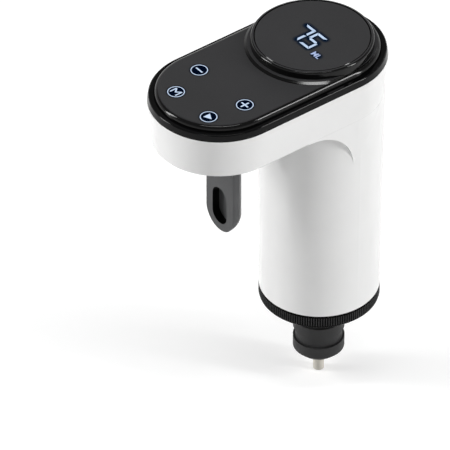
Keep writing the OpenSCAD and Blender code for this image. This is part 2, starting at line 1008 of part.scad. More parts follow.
module air_hose() {
    color("#d9dde0")
        difference() {
            rod([pump_x, 0], tube_r, z_base + valve_h + 0.2, z_pump - 0.2);
            rod([pump_x, 0], bore_r, z_base + valve_h - 1, z_pump + 1);
        }
}

module check_valve() {
    z1 = z_base + valve_h;
    color("#f0ede4")
        translate([pump_x, 0, 0])
            difference() {
                union() {
                    rod([0, 0], barb_r, z_base - valve_foot, z_base + eps);
                    rod([0, 0], valve_r, z_base, z1);
                    rod([0, 0], barb_r, z1 - eps, z1 + valve_barb);
                }
                rod([0, 0], air_bore, z_base - valve_foot - 1, z1 + valve_barb + 1);
                rod([0, 0], valve_room, z_base + valve_seat, z1 - valve_seat);
            }
}

module base_plate() {
    color("#2a2b2e")
        difference() {
            union() {
                rod([0, 0], plate_r, z_plate, z_base);
                rod([0, 0], spigot_r, z_spigot, z_plate + eps);
                bayonet(lug_w, 0, lug_r, z_spigot, z_lug);
                for (p = charge_posts)
                    rod(p, charge_post_r, z_base - eps, charge_z);
            }
            rod([0, 0], neck_r, z_spigot - 1, z_base + 1);
            difference() {
                rod([0, 0], neck_r + 1.4, z_plate - 1.5, z_plate);
                rod([0, 0], neck_r - 1, z_plate - 2, z_plate + 1);
            }
            difference() {
                rod([0, 0], plate_r + 1, z_plate + 0.75, z_base - 0.75);
                rod([0, 0], seal_ring - seal_sec, z_plate, z_base);
            }
            rod([pump_x, 0], barb_r, z_base - valve_foot, z_base + 1);
            rod([pump_x, 0], 1.2, z_spigot - 1, z_base);
            for (a = boss_angles)
                rotate([0, 0, a]) {
                    rod([boss_pos, 0], screw_r + slip_clear, z_spigot - 1, z_base + 1);
                    rod([boss_pos, 0], head_screw_r + slip_clear, z_spigot - 1, z_base - 2);
                }
            for (p = legs)
                rod(p, peg_r, z_base - 2, z_base + 1);
            for (p = charge_posts)
                rod(p, charge_screw_r, charge_z - 6, charge_z + 1);
        }
}

// Blocks of the bayonet round the spigot
module bayonet(w, turn, r, z0, z1) {
    intersection() {
        rod([0, 0], r, z0, z1);
        for (a = lug_angles)
            rotate([0, 0, a + turn])
                box(spigot_r - 3, r + 2, -w / 2, w / 2, z0, z1);
    }
}

module base_screws() {
    color("#b8bcc0")
        for (a = boss_angles)
            rotate([0, 0, a])
                translate([boss_pos, 0, 0])
                    mirror([0, 0, 1])
                        screw([0, 0], screw_r, -(z_base - 2), screw_len, head_screw_r, head_screw_t);
}

module base_seal() {
    color("#1c1c1e")
        flat_ring(seal_ring, seal_sec, (z_plate + z_base) / 2);
}

module core_seal() {
    color("#1c1c1e")
        flat_ring(neck_r + 0.7, 0.7, z_plate - 0.75);
}

module stopper_core() {
    color("#e9e9e6")
        difference() {
            union() {
                rod([0, 0], flange_r, z_flange, z_spigot);
                rod([0, 0], neck_r, z_spigot - eps, z_base);
                rod([0, 0], barb_r, z_base - eps, z_base + top_barb);
                rod([0, 0], core_r, core_end, z_flange + eps);
                rod([0, 0], barb_r, core_end - barb_len, core_end + eps);
            }
            rod([0, 0], wine_bore, core_end - barb_len - 1, z_base + top_barb + 1);
            rod([air_x, 0], air_bore, core_end - 1, z_spigot - 0.4);
            box(pump_x - 1, air_x + air_bore, -air_bore, air_bore, z_spigot - 0.8, z_spigot);
        }
}

module bottle_stopper() {
    neck = stopper_r - 0.8;
    foot = 2;
    rib = (stopper_len - foot) * 0.2;
    pitch = (stopper_len - foot - rib) / 2;
    color("#2b2c30")
        rotate_extrude()
            difference() {
                union() {
                    translate([0, lip_z])
                        square([seat_r, z_flange - lip_z]);
                    square([stopper_r + 0.35, z_flange]);
                    translate([0, foot - stopper_len])
                        square([neck, stopper_len - foot]);
                    for (i = [0, 1, 2])
                        translate([0, -rib - i * pitch])
                            square([stopper_r, rib]);
                    polygon([[0, -stopper_len], [neck - 1.2, -stopper_len], [stopper_r, foot - stopper_len],
                        [0, foot - stopper_len]]);
                }
                translate([-1, -stopper_len - 1])
                    square([core_r + 1, stopper_len + z_flange + 2]);
            }
}

// Ribbed band of the lock ring
module rib_band(r, z0, z1) {
    n = ring_ribs;
    translate([0, 0, z0])
        linear_extrude(z1 - z0)
            difference() {
                polygon([for (i = [0 : 2 * n - 1]) let (a = i * 180 / n)
                    (r - (i % 2) * rib_depth) * [cos(a), sin(a)]]);
                circle(ring_in + 0.4);
            }
}

module lock_ring() {
    e = 1;
    r = col_r;
    color("#141416")
        difference() {
            union() {
                rotate_extrude()
                    translate([0, z_ring])
                        polygon([[lip_in, 0], [r - e - 0.2, 0], [r - 0.2, e], [r - 0.2, e + 0.4],
                            [r - 0.9, e + 0.4], [r - 0.9, ring_h - 0.6], [r - 0.2, ring_h - 0.6],
                            [r - 0.2, ring_h - 0.2], [r - 0.4, ring_h], [lip_in, ring_h]]);
                rib_band(r, z_ring + e + 0.4, z_ring_top - 0.6);
            }
            rod([0, 0], ring_in, z_flange - lip_gap, z_lip);
            rod([0, 0], spigot_r + run_clear, z_lip - eps, z_ring_top + 1);
            bayonet(lug_w + 0.6, lock_turn, ring_in, z_lip - 0.2, z_ring_top + 1);
        }
}

module charge_board() {
    color("#1d5b34")
        difference() {
            box(-6.4, 6.4, 6.5, charge_back(), charge_z, charge_z + charge_t);
            for (p = charge_posts)
                rod(p, charge_screw_r + slip_clear, charge_z - 1, charge_z + charge_t + 1);
        }
}

function charge_back() = col_in - 2.4;

module charging_socket() {
    half = (socket_w - socket_t) / 2;
    r = socket_t / 2;
    y1 = col_r - 0.5;
    color("#c4c7ca")
        translate([0, y1 - socket_len, socket_z])
            rotate([-90, 0, 0])
                difference() {
                    linear_extrude(socket_len)
                        slot_shape(half, r);
                    translate([0, 0, 1])
                        linear_extrude(socket_len)
                            slot_shape(half, r - 0.35);
                }
    color("#1a1a1c")
        box(-half, half, y1 - socket_len + 0.5, y1 - 1.2, socket_z - 0.35, socket_z + 0.35);
}

module slot_shape(half, r) {
    for (s = [-1, 1])
        translate([s * half, 0])
            circle(r);
    translate([-half, -r])
        square([2 * half, 2 * r]);
}

module charge_screws() {
    color("#b8bcc0")
        for (p = charge_posts)
            screw(p, charge_screw_r, charge_z + charge_t, small_screw_len, small_head_r, small_head_t);
}

main_housing();
top_bezel();
touch_panel();
touch_board();
display_rim();
display_lens();
display_board();
display_digits();
control_board();
board_screws();
micro_switch();
switch_plunger();
lever();
lever_pin();
lever_spring();
outlet_nozzle();
nozzle_seal();
wine_tube();
battery_cell();
chassis();
motor_can();
motor_cap();
drive_crank();
rocker();
pump_case();
diaphragm();
pump_chamber();
pump_cover();
pump_screws();
pump_pad();
motor_sleeve();
air_hose();
check_valve();
base_plate();
base_screws();
base_seal();
stopper_core();
core_seal();
bottle_stopper();
lock_ring();
charge_board();
charging_socket();
charge_screws();
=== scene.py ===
"""Electric drink aerator: finishes, lit legends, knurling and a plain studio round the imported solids."""
import json
import math

import bmesh
import bpy
from mathutils import Matrix, Vector


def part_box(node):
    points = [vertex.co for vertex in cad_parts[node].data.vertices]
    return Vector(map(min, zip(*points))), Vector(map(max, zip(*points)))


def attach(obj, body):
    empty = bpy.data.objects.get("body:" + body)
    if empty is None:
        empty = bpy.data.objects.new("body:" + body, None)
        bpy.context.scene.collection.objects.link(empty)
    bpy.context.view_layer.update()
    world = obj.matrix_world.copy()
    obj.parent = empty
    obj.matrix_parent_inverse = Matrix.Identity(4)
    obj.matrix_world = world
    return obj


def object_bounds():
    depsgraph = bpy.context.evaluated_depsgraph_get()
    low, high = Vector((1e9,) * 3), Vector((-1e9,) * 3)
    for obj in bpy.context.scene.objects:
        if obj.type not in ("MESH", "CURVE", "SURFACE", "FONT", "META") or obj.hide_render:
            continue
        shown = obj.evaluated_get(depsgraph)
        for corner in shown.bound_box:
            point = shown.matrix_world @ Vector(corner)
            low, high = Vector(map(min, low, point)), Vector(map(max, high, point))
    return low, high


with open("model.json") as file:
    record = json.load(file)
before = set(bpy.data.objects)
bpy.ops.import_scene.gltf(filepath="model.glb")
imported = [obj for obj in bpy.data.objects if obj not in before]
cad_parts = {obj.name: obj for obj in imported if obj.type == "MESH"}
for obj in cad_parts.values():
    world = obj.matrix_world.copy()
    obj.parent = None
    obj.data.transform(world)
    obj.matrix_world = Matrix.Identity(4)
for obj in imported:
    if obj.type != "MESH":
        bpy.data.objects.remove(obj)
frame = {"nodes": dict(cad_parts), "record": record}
cad_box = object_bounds()
nodes = frame["nodes"]
slot_of = {part["node"]: part["material_slot"] for part in frame["record"]["subparts"]}
scene = bpy.context.scene

MM = 0.001

# Camera of the picture: degrees from the front and above level, lens, reach, distance and framing
CAMERA_AZIMUTH = 52.21
CAMERA_ELEVATION = 38.29
CAMERA_LENS = 685.0
CAMERA_SENSOR = 36.0
CAMERA_REACH = 20.0
CAMERA_DISTANCE = 2987.5 * MM
CAMERA_TARGET = Vector((0, -32, 77.3)) * MM
CAMERA_SLIDE_RIGHT = -8.20 * MM
CAMERA_SLIDE_UP = -23.69 * MM

# Films of the legends, in millimetres
FILM = 0.02
LIFT = 0.004

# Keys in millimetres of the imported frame, seen from above
PANEL_SKIN = 1.7
KEY_MINUS = (-12.2, -44.2)
KEY_PLUS = (13.1, -43.9)
KEY_MODE = (-7.3, -58.1)
KEY_START = (10.8, -57.9)
KEY_RING = 3.05
KEY_LINE = 0.32
KEY_MARGIN = 0.9
RING_SIDES = 72
GLOW_SIDES = 48
MARK_WIDTH = 3.5
MARK_LINE = 0.58
LETTER_HEIGHT = 3.0
LETTER_LINE = 0.52
ARROW_BACK = 1.15
ARROW_HALF = 1.5

# Dip of the letter's slants as a share of its height, and their upright thickness in lines
LETTER_DIP = 0.45
LETTER_SLANT = 1.45

# Backlight of a key: share of its radius, and fade there
GLOW_STEPS = ((0.55, 1.0), (0.74, 0.95), (0.82, 0.6), (0.91, 0.2), (1.0, 0.0))

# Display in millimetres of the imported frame, seen from above
DIGIT_W = 5.2
DIGIT_H = 8.65
DIGIT_LINE = 0.98
DIGIT_GAP = 0.12
DIGITS_LEFT = -6.25
DIGITS_LOW = -9.95
DIGIT_PITCH = 6.25
UNIT_PLACE = (7.8, -11.0)
UNIT_HEIGHT = 2.3
UNIT_GLOW = 0.6
GLOW_MARGIN = 2.2
GLOW_CELL = 0.3
HALO = 1.2
HALO_CORE = 0.25

# Outline of the unit's letters, in units of their font
UNIT_BOLD = 0.02
UNIT_DEPTH = 1.0
UNIT_STEPS = 3

# Segments of a digit in shares of its width and height, and the lit ones of each number
SEGMENTS = {
    "top": ((0, 1), (1, 1)),
    "middle": ((0, 0.5), (1, 0.5)),
    "bottom": ((0, 0), (1, 0)),
    "upper_left": ((0, 0.5), (0, 1)),
    "upper_right": ((1, 0.5), (1, 1)),
    "lower_right": ((1, 0), (1, 0.5)),
}
SEVEN = ("top", "upper_right", "lower_right")
FIVE = ("top", "upper_left", "middle", "lower_right", "bottom")
DIGITS = ((SEVEN, DIGITS_LEFT), (FIVE, DIGITS_LEFT + DIGIT_PITCH))

# Ribs of the lock ring
RIB_COUNT = 150
RIB_SIDES = 8
RIB_RADIUS = 0.23 * MM
RIB_LOW = 1.5 * MM
RIB_TOP = 0.7 * MM

# Contacts of the charging socket
CONTACT_COUNT = 6
CONTACT_PITCH = 0.95 * MM
CONTACT_SIZE = (0.42 * MM, 3.6 * MM, 0.1 * MM)
CONTACT_INSET = 3.2 * MM
TONGUE_HALF = 0.35 * MM

# Scoop of the lever in millimetres, and the span of normals between its face and its walls, where painted
# shade darkens the walls
SCOOP_HALF = 4.02
SCOOP_DEEP = 3.05
SCOOP_RISE = (2.95, 18.25)
SCOOP_RIM = 0.05
SCOOP_WALL = (-0.8, -0.4)

# Tones and roughness of the covers, shared with the backlights that lie on them. The top tones are the dark
# plastic with a painted sheen of overhead light; the edge tone is the plastic's own near black
PANEL_SHEEN_TONE = 0.030
PANEL_ROUGH = 0.56
PANEL_EDGE_ROUGH = 0.09
LENS_SHEEN_TONE = 0.030
LENS_ROUGH = 0.50
LENS_EDGE_ROUGH = 0.08
EDGE_TONE = 0.003
COVER_BLUE = 1.05
COVER_MOTTLE = 0.06

# Other tones: backlight, darker share of lit marks and of drawn metal, and painted shade on the walls of the
# scoop
BACKLIGHT_BASE = (0.001, 0.002, 0.005)
BACKLIGHT_SHINE = 0.05
LIT_DIM = 0.86
DRAWN_DIM = 0.82
SCOOP_PAINTED_SHADE = 0.0015

# Colours of a circuit board
MASK_GREEN = (0.012, 0.12, 0.045)
TRACK_GREEN = (0.03, 0.22, 0.09)
PAD_TIN = (0.62, 0.6, 0.55)

# Spans of source values: noise, normals that look up and take the painted sheen, and edges of tracks and
# pads
NOISE_SPAN = (0.3, 0.7)
SHEEN_UP_SPAN = (0.90, 0.995)
TRACK_SPAN = (0.03, 0.06)
PAD_SPAN = (0.12, 0.16)

# Lowest and highest roughness of an uneven finish, as shares of its plain value
SKIN_SPREAD = (0.85, 1.15)
SATIN_SPREAD = (0.9, 1.1)
DRAWN_SPREAD = (0.7, 1.3)
DUST_SPREAD = (0.85, 1.2)

# Floor and surroundings in metres: size, tones, and where the floor lifts and the ceiling turns grey
FLOOR_HALF = 4.0
FLOOR_GAP = 0.3 * MM
FLOOR_TONE = 0.62
FLOOR_LIFT = (0.48, 0.84)
FLOOR_FADE = (0.5, 2.5)
WORLD_LEVEL = 0.28
CEILING = 0.25
CEILING_FADE = (0.2, 0.5)

# Lamps: name, place and size in metres, and power in watts
LAMPS = (
    ("left_light", (-1.25, -1.5, 1.0), (0.4, 1.4), 33.0),
    ("right_light", (1.6, 1.2, 1.0), (0.28, 1.4), 28.5),
    ("top_light", (0.42, -0.32, 2.0), (1.4, 0.1), 11.0),
)

# Mix node by kind of value: numbers of its two inputs and of its result
MIX_SOCKETS = {"FLOAT": (2, 3, 0), "RGBA": (6, 7, 2)}


# Node helpers


def set_inputs(tree, node, inputs):
    """Gives a node's inputs plain values, or links them to other nodes' outputs."""
    for key, value in inputs.items():
        socket = node.inputs[key]
        if isinstance(value, bpy.types.NodeSocket):
            tree.links.new(value, socket)
        else:
            socket.default_value = value


def add_node(tree, kind, inputs, **settings):
    """Node with its settings by name, and its inputs by name or number."""
    node = tree.nodes.new(kind)
    for key, value in settings.items():
        setattr(node, key, value)
    set_inputs(tree, node, inputs)
    return node


def new_shader(name):
    """Node material with its tree and its main shader."""
    material = bpy.data.materials.new(name)
    material.use_nodes = True
    tree = material.node_tree
    return material, tree, tree.nodes["Principled BSDF"]


def coordinates(tree, kind):
    """Texture coordinates of a kind, such as Object or Normal."""
    return add_node(tree, "ShaderNodeTexCoord", {}).outputs[kind]


def axis_of(tree, vector, axis):
    """One axis of a vector."""
    return add_node(tree, "ShaderNodeSeparateXYZ", {"Vector": vector}).outputs[axis]


def compute(tree, operation, *values):
    """Result of a Math node whose inputs are numbers or sockets."""
    return add_node(tree, "ShaderNodeMath", dict(enumerate(values)), operation=operation).outputs["Value"]


def mix(tree, kind, factor, first, second):
    """First value at factor 0 and second at factor 1, each of them plain or a socket."""
    a, b, result = MIX_SOCKETS[kind]
    node = add_node(tree, "ShaderNodeMix", {"Factor": factor, a: first, b: second}, data_type=kind)
    return node.outputs[result]


def remap(tree, source, low, high, span=NOISE_SPAN):
    """Source value spread from low to high over its span."""
    inputs = {"Value": source, "From Min": span[0], "From Max": span[1], "To Min": low, "To Max": high}
    return add_node(tree, "ShaderNodeMapRange", inputs).outputs["Result"]


def object_noise(tree, scale, detail=2.0, stretch=(1, 1, 1)):
    """Noise on Object coordinates, stretched along an axis where asked."""
    place = add_node(tree, "ShaderNodeMapping", {"Vector": coordinates(tree, "Object"), "Scale": stretch})
    inputs = {"Vector": place.outputs["Vector"], "Scale": scale, "Detail": detail}
    return add_node(tree, "ShaderNodeTexNoise", inputs).outputs["Fac"]


def mottled(tree, noise, dark, light):
    """Colour that wanders between two with a noise."""
    return mix(tree, "RGBA", remap(tree, noise, 0, 1), dark, light)


def uneven(tree, noise, rough, spread):
    """Roughness that wanders between two shares of itself with a noise."""
    return remap(tree, noise, rough * spread[0], rough * spread[1])


def relief(tree, height, depth):
    """Normal of a height map, depth in millimetres."""
    return add_node(tree, "ShaderNodeBump", {"Height": height, "Distance": depth * MM}).outputs["Normal"]


def grey(value, blue=1.0):
    """Opaque grey with its blue part scaled."""
    return (value, value, value * blue, 1.0)


def shade(colour, factor=1.0, lift=0.0):
    """Opaque colour, scaled and lifted."""
    return tuple(min(1.0, c * factor + lift) for c in colour) + (1.0,)


# Finishes


def moulded(name, colour, rough, grain=900, depth=0.01, mottle=0.06, specular=0.5, coat=0.0):
    """Moulded plastic: a faint mottle in colour and gloss, and a fine skin relief."""
    material, tree, shader = new_shader(name)
    cloud = object_noise(tree, scale=60, detail=3.0)
    skin = object_noise(tree, grain)
    set_inputs(tree, shader, {
        "Base Color": mottled(tree, cloud, shade(colour, 1 - mottle), shade(colour, 1 + mottle)),
        "Roughness": uneven(tree, skin, rough, SKIN_SPREAD),
        "Normal": relief(tree, skin, depth),
        "Specular IOR Level": specular,
        "Coat Weight": coat,
        "Coat Roughness": 0.06,
    })
    return material


def scoop_with_painted_shade(name, colour, rough, low, high):
    """Moulded plastic with painted shade that makes the walls of its scoop near black, from low to high
    corner.
    """
    material = moulded(name, colour, rough, grain=600, mottle=0.12, specular=0.15)
    tree = material.node_tree
    shader = tree.nodes["Principled BSDF"]
    place = coordinates(tree, "Object")
    painted_shade_walls = remap(tree, axis_of(tree, coordinates(tree, "Normal"), "Y"), 0.0, 1.0, SCOOP_WALL)
    for axis, start, end in zip("XYZ", low, high):
        within = compute(tree, "COMPARE", axis_of(tree, place, axis), (start + end) / 2, (end - start) / 2)
        painted_shade_walls = compute(tree, "MULTIPLY", painted_shade_walls, within)
    skin = shader.inputs["Base Color"].links[0].from_socket
    # Painted shade: the walls of the scoop take a near black in place of the shadow in the recess
    set_inputs(tree, shader, {"Base Color": mix(tree, "RGBA", painted_shade_walls, skin, grey(SCOOP_PAINTED_SHADE))})
    return material


def charcoal_nodes(tree, shader, top, edge, rough_top, rough_edge):
    """Satin top, made lighter than its glossy darker edges by a painted sheen. Returns the colour socket."""
    up = remap(tree, axis_of(tree, coordinates(tree, "Normal"), "Z"), 0.0, 1.0, SHEEN_UP_SPAN)
    cloud = object_noise(tree, scale=45, detail=3.0)
    skin = object_noise(tree, scale=2600)
    dark = grey(top * (1 - COVER_MOTTLE), COVER_BLUE)
    light = grey(top * (1 + COVER_MOTTLE), COVER_BLUE)
    # Painted sheen: faces that look up take the lighter top tone, as if lit from above, and the edges keep
    # the near black
    colour = mix(tree, "RGBA", up, grey(edge), mottled(tree, cloud, dark, light))
    set_inputs(tree, shader, {
        "Base Color": colour,
        "Roughness": mix(tree, "FLOAT", up, rough_edge, uneven(tree, skin, rough_top, SATIN_SPREAD)),
        "Normal": relief(tree, skin, depth=0.004),
        "Specular IOR Level": 0.22,
    })
    return colour


def charcoal(name, top, edge, rough_top, rough_edge):
    """Satin charcoal cover with glossy edges and a painted sheen on its top."""
    material, tree, shader = new_shader(name)
    charcoal_nodes(tree, shader, top, edge, rough_top, rough_edge)
    return material


def glow_film(name, tint, top, rough):
    """Charcoal cover that turns to a dim backlight where the piece's fade attribute is 1."""
    material, tree, shader = new_shader(name)
    cover = charcoal_nodes(tree, shader, top, top, rough, rough)
    fade = add_node(tree, "ShaderNodeAttribute", {}, attribute_name="fade").outputs["Fac"]
    set_inputs(tree, shader, {
        "Base Color": mix(tree, "RGBA", fade, cover, shade(BACKLIGHT_BASE)),
        "Emission Color": mix(tree, "RGBA", fade, grey(0.0), shade(tint)),
        "Emission Strength": 1.0,
        "Specular Tint": mix(tree, "RGBA", fade, grey(1.0), grey(BACKLIGHT_SHINE)),
        "Metallic": fade,
    })
    return material


def lit_legend(name, colour):
    """Lit window: even light with a slight mottle."""
    material, tree, shader = new_shader(name)
    cloud = object_noise(tree, scale=700)
    set_inputs(tree, shader, {
        "Base Color": grey(0.02),
        "Emission Color": mottled(tree, cloud, shade(colour, LIT_DIM), shade(colour)),
        "Emission Strength": 1.0,
        "Roughness": 0.4,
        "Specular IOR Level": 0.2,
    })
    return material


def brushed(name, colour, rough=0.28, stretch=(1, 1, 14)):
    """Plated or brushed metal with fine drawn lines."""
    material, tree, shader = new_shader(name)
    lines = object_noise(tree, scale=1600, detail=3.0, stretch=stretch)
    set_inputs(tree, shader, {
        "Base Color": mottled(tree, lines, shade(colour, DRAWN_DIM), shade(colour)),
        "Roughness": uneven(tree, lines, rough, DRAWN_SPREAD),
        "Normal": relief(tree, lines, depth=0.004),
        "Metallic": 1.0,
    })
    return material


def silicone(name, colour, rough=0.55, depth=0.02, clear=0.0):
    """Soft rubber with a dusty, slightly uneven skin."""
    material, tree, shader = new_shader(name)
    dust = object_noise(tree, scale=320, detail=4.0)
    skin = object_noise(tree, scale=1800)
    set_inputs(tree, shader, {
        "Base Color": mottled(tree, dust, shade(colour, factor=0.8), shade(colour, factor=1.2, lift=0.004)),
        "Roughness": uneven(tree, dust, rough, DUST_SPREAD),
        "Normal": relief(tree, skin, depth),
        "Transmission Weight": clear,
        "Sheen Weight": 0.04,
        "Specular IOR Level": 0.3,
    })
    return material


def circuit_board(name):
    """Solder-masked board with tracks and tinned pads."""
    material, tree, shader = new_shader(name)
    place = coordinates(tree, "Object")
    tracks = add_node(tree, "ShaderNodeTexVoronoi", {"Vector": place, "Scale": 420},
                      feature="DISTANCE_TO_EDGE")
    pads = add_node(tree, "ShaderNodeTexVoronoi", {"Vector": place, "Scale": 560})
    line = remap(tree, tracks.outputs["Distance"], 1.0, 0.0, TRACK_SPAN)
    dot = remap(tree, pads.outputs["Distance"], 1.0, 0.0, PAD_SPAN)
    mask = mix(tree, "RGBA", line, shade(MASK_GREEN), shade(TRACK_GREEN))
    set_inputs(tree, shader, {
        "Base Color": mix(tree, "RGBA", dot, mask, shade(PAD_TIN)),
        "Metallic": dot,
        "Roughness": mix(tree, "FLOAT", line, 0.32, 0.42),
        "Normal": relief(tree, line, depth=0.03),
    })
    return material


def scoop_corners():
    """Low and high corner of the scoop in the lever's face."""
    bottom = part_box("lever")[0].z
    top = bottom + SCOOP_RISE[1] * MM
    face = min(v.co.y for v in nodes["lever"].data.vertices if v.co.z < top)
    low = (-SCOOP_HALF * MM, face + SCOOP_RIM * MM, bottom + SCOOP_RISE[0] * MM)
    high = (SCOOP_HALF * MM, face + SCOOP_DEEP * MM, top)
    return low, high


FINISHES = {
    "white_gloss": moulded("gloss_white_shell", (0.86, 0.86, 0.855), rough=0.07, grain=420, depth=0.004,
                           mottle=0.012, coat=0.35),
    "black_gloss": moulded("gloss_black_frame", (0.002, 0.002, 0.0022), rough=0.08, grain=500, depth=0.004,
                           mottle=0.2, specular=0.14),
    "panel_charcoal": charcoal("satin_charcoal_cover", PANEL_SHEEN_TONE, EDGE_TONE, PANEL_ROUGH, PANEL_EDGE_ROUGH),
    "smoked_lens": charcoal("smoked_display_lens", LENS_SHEEN_TONE, EDGE_TONE, LENS_ROUGH, LENS_EDGE_ROUGH),
    "board_green": circuit_board("green_board"),
    "digit_white": moulded("white_digit_block", (0.8, 0.82, 0.84), rough=0.5),
    "bright_steel": brushed("plated_steel", (0.62, 0.63, 0.65)),
    "switch_black": moulded("black_switch_case", (0.02, 0.02, 0.022), rough=0.45),
    "switch_red": moulded("red_switch_plunger", (0.45, 0.04, 0.03), rough=0.4),
    "lever_grey": scoop_with_painted_shade("gloss_grey_lever", (0.065, 0.066, 0.068), 0.16, *scoop_corners()),
    "nozzle_black": moulded("black_spout_plastic", (0.012, 0.012, 0.013), rough=0.25, grain=700, mottle=0.15,
                            specular=0.35),
    "soft_black": silicone("black_silicone", (0.013, 0.013, 0.0135)),
    "clear_silicone": silicone("milky_silicone", (0.74, 0.76, 0.78), rough=0.35, depth=0.01, clear=0.45),
    "cell_wrap": moulded("blue_cell_sleeve", (0.03, 0.14, 0.36), rough=0.3, grain=500, depth=0.02,
                         mottle=0.15),
    "chassis_grey": moulded("grey_chassis", (0.14, 0.145, 0.15), rough=0.5, grain=700, depth=0.03),
    "pump_ivory": moulded("ivory_pump_plastic", (0.68, 0.65, 0.58), rough=0.45, grain=700, depth=0.02),
    "rocker_teal": moulded("teal_rocker_plastic", (0.04, 0.22, 0.27), rough=0.4, grain=700, depth=0.02),
    "ring_black": moulded("black_ring_plastic", (0.003, 0.003, 0.0032), rough=0.24, grain=800, depth=0.008,
                          mottle=0.2, specular=0.04),
}
# Painted highlight: the ribs are a lighter black than the ring, standing in for lamp glints on their crests
RIB_HIGHLIGHT_FINISH = moulded("rib_crests_painted_highlight", (0.028, 0.028, 0.029), rough=0.3, grain=800, depth=0.008,
                     mottle=0.2, specular=0.15)
GOLD = brushed("gold_contact", (0.83, 0.62, 0.25), rough=0.25, stretch=(1, 10, 1))
KEY_LIGHT = lit_legend("lit_key_mark", (0.60, 0.74, 0.95))
DIGIT_LIGHT = lit_legend("lit_digit", (0.56, 0.71, 0.94))
UNIT_LIGHT = lit_legend("lit_unit_mark", (0.42, 0.52, 0.80))
# Backlights fade out into the cover tones, painted sheen included
KEY_GLOW = glow_film("key_backlight", (0.0, 0.0025, 0.011), PANEL_SHEEN_TONE, PANEL_ROUGH)
DIGIT_GLOW = glow_film("digit_backlight", (0.002, 0.009, 0.024), LENS_SHEEN_TONE, LENS_ROUGH)

for node_name, node_object in nodes.items():
    node_object.data.materials.clear()
    node_object.data.materials.append(FINISHES[slot_of[node_name]])


# Mesh helpers


def add_object(name, data):
    """Object at the origin that holds a mesh, a curve, a light or a camera."""
    holder = bpy.data.objects.new(name, data)
    scene.collection.objects.link(holder)
    return holder


def plain_mesh(holder):
    """Finished mesh of a helper object, which is then removed."""
    depsgraph = bpy.context.evaluated_depsgraph_get()
    mesh = bpy.data.meshes.new_from_object(holder.evaluated_get(depsgraph))
    bpy.data.objects.remove(holder)
    return mesh


def mesh_from(bm, name, material):
    """Mesh with outward faces and one finish."""
    bmesh.ops.recalc_face_normals(bm, faces=bm.faces)
    mesh = bpy.data.meshes.new(name)
    bm.to_mesh(mesh)
    bm.free()
    mesh.materials.append(material)
    return mesh


def finish_piece(name, mesh, body):
    """Object that rides on a body."""
    piece = add_object(name, mesh)
    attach(piece, body)


def add_wall(bm, first, second):
    """Faces between two closed loops of vertices."""
    for i in range(len(first)):
        bm.faces.new((first[i - 1], first[i], second[i], second[i - 1]))


def add_circle(bm, centre, radius, z, sides):
    """Closed loop of vertices round a centre in millimetres, at a height in metres."""
    loop = []
    for i in range(sides):
        angle = 2 * math.pi * i / sides
        x = centre[0] + radius * math.cos(angle)
        y = centre[1] + radius * math.sin(angle)
        loop.append(bm.verts.new((x * MM, y * MM, z)))
    return loop


def add_film(bm, outline, z):
    """Thin raised film with the given outline, in millimetres."""
    lower = [bm.verts.new((x * MM, y * MM, z)) for x, y in outline]
    upper = [bm.verts.new((x * MM, y * MM, z + FILM * MM)) for x, y in outline]
    bm.faces.new(lower)
    bm.faces.new(upper)
    add_wall(bm, lower, upper)


def add_ring(bm, centre, inner, outer, z):
    """Thin raised ring, in millimetres."""
    corners = ((inner, 0), (outer, 0), (outer, FILM), (inner, FILM))
    loops = [add_circle(bm, centre, radius, z + height * MM, RING_SIDES) for radius, height in corners]
    for first, second in zip(loops, loops[1:] + loops[:1]):
        add_wall(bm, first, second)


def add_glow(name, bm, fades, material):
    """Backlight piece from a flat mesh and the fade of each of its vertices."""
    mesh = mesh_from(bm, name, material)
    if mesh.polygons[0].normal.z < 0:
        mesh.flip_normals()
    layer = mesh.attributes.new("fade", "FLOAT", "POINT")
    layer.data.foreach_set("value", fades)
    finish_piece(name, mesh, "body")


# Lit keys

panel_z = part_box("touch_board")[1].z + PANEL_SKIN * MM


def key_glow(name, centre):
    """Round patch of backlight that fades out at its rim."""
    bm = bmesh.new()
    z = panel_z + LIFT * MM
    middle = bm.verts.new((centre[0] * MM, centre[1] * MM, z))
    fades = [1.0]
    loops = []
    for share, fade in GLOW_STEPS:
        loops.append(add_circle(bm, centre, (KEY_RING + KEY_MARGIN) * share, z, GLOW_SIDES))
        fades += [fade] * GLOW_SIDES
    for i in range(GLOW_SIDES):
        bm.faces.new((middle, loops[0][i - 1], loops[0][i]))
    for first, second in zip(loops, loops[1:]):
        add_wall(bm, first, second)
    add_glow(name, bm, fades, KEY_GLOW)


def key_legend(name, centre, outline):
    """Ring with a mark in it on the touch panel, over its backlight."""
    key_glow("glow_" + name, centre)
    bm = bmesh.new()
    z = panel_z + 2 * LIFT * MM
    add_ring(bm, centre, KEY_RING - KEY_LINE, KEY_RING, z)
    add_film(bm, [(centre[0] + x, centre[1] + y) for x, y in outline], z)
    finish_piece("key_" + name, mesh_from(bm, "key_" + name, KEY_LIGHT), "body")


def minus_outline(width, line):
    """Outline of a minus sign."""
    w = width / 2
    h = line / 2
    return [(-w, -h), (w, -h), (w, h), (-w, h)]


def plus_outline(width, line):
    """Outline of a plus sign."""
    w = width / 2
    h = line / 2
    return [(h, h), (h, w), (-h, w), (-h, h), (-w, h), (-w, -h), (-h, -h), (-h, -w), (h, -w), (h, -h),
            (w, -h), (w, h)]


def letter_outline(width, height, line):
    """Outline of the letter M round its own centre."""
    w = width / 2
    h = height / 2
    dip = h - LETTER_DIP * height
    thick = LETTER_SLANT * line
    return [(-w, -h), (-w + line, -h), (-w + line, h - thick), (0, dip - thick), (w - line, h - thick),
            (w - line, -h), (w, -h), (w, h), (w - line, h), (0, dip), (-w + line, h), (-w, h)]


def arrow_outline(tip):
    """Outline of a triangle that points to the right."""
    return [(-ARROW_BACK, -ARROW_HALF), (tip, 0), (-ARROW_BACK, ARROW_HALF)]


